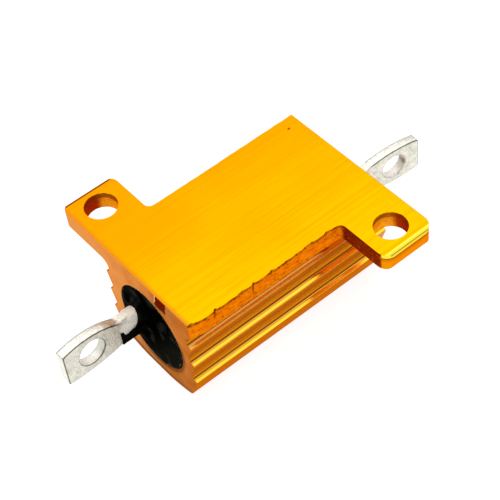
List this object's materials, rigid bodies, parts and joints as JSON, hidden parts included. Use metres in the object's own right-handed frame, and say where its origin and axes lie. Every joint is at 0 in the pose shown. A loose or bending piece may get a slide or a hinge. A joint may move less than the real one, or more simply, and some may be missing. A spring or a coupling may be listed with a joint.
{
  "type": "aluminium housed power resistor",
  "caption": "Finned gold-anodised aluminium housing with opposite mounting ears round a wire-wound resistor in black compound, with a flat eyed solder lug at each end.",
  "frame": {"origin": "centre of the mounting face", "axes": "+X along the housing from the near end to the far end, +Z out of the mounting face, so the part lies on its crown; the near end's ear is on the +Y side"},
  "size_m": [0.0341, 0.0212, 0.0102],
  "materials": {
    "anodised_aluminium": "gold anodised, satin on the mounting face and bright on the fins",
    "potting_compound": "hard black compound, slightly glossy",
    "ceramic": "unglazed, ground round",
    "resistance_alloy": "drawn and rolled ribbon, dull",
    "cap_steel": "plated drawn steel",
    "tinned_metal": "tinned, with a fine pressed grain"
  },
  "bodies": {
    "root": {"housing": "anodised_aluminium", "compound": "potting_compound", "ceramic_core": "ceramic", "resistance_winding": "resistance_alloy", "near_end_cap": "cap_steel", "far_end_cap": "cap_steel", "near_terminal": "tinned_metal", "far_terminal": "tinned_metal"}
  },
  "joints": []
}
